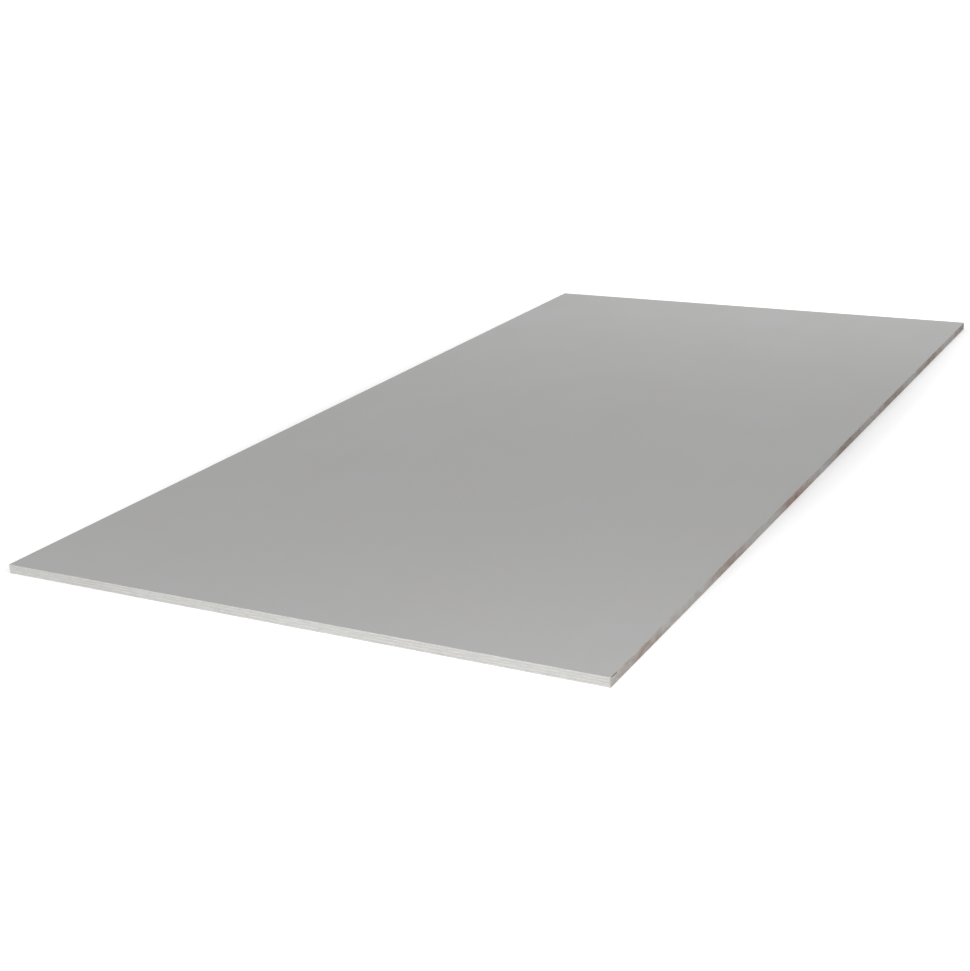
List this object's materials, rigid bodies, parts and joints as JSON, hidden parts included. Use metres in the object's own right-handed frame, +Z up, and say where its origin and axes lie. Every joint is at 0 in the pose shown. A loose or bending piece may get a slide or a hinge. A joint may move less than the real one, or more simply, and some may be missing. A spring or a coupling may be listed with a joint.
{
  "type": "plywood sheet",
  "caption": "Flat rectangular plywood sheet, grey-primed on both faces and all sawn edges, with lightly broken arrises and corners; stock for lining, joinery and formwork.",
  "frame": {"origin": "centre of the sheet's underside", "axes": "+X along the sheet's length and its face grain, +Y across its width, +Z up through its thickness"},
  "size_m": [2.44, 1.22, 0.018],
  "materials": {
    "grey_primer": "satin"
  },
  "bodies": {
    "root": {"plywood_sheet": "grey_primer"}
  },
  "joints": []
}
